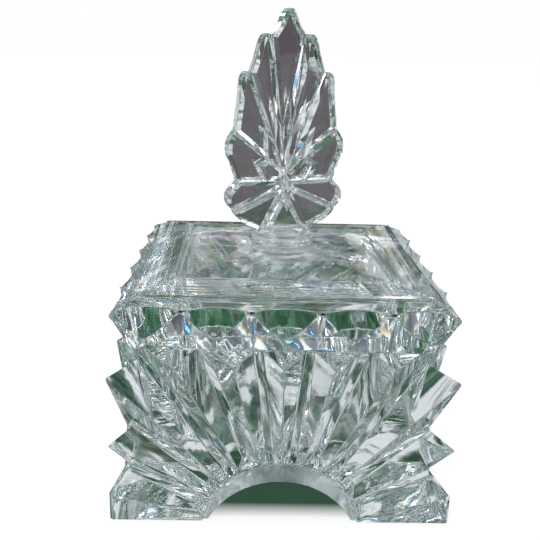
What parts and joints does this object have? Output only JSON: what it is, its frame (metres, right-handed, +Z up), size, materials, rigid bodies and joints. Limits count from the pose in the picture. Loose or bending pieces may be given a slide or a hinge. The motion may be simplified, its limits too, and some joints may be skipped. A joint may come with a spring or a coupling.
{
  "type": "powder jar",
  "caption": "Square cut crystal powder jar on corner feet, with fans of flutes and an arch on each side, a lift-off lid with a notched rim, and an upright leaf finial.",
  "frame": {"origin": "middle of the square on the table that the four feet stand on", "axes": "+Z up through the finial, -Y towards the front of the jar, +X to the right of someone facing the front"},
  "size_m": [0.111, 0.111, 0.1614],
  "materials": {
    "jar_crystal": "clear lead crystal, cut and fire polished",
    "lid_crystal": "clear lead crystal, cut and fire polished",
    "finial_crystal": "clear lead crystal, pressed and fire polished"
  },
  "bodies": {
    "jar": {"jar_body": "jar_crystal"},
    "lid": {"lid": "lid_crystal", "finial": "finial_crystal"}
  },
  "joints": [
    {"name": "lid_lift", "type": "slide", "parent": "jar", "child": "lid", "axis": [0, 0, 1], "range_m": [0, 0.06]}
  ]
}
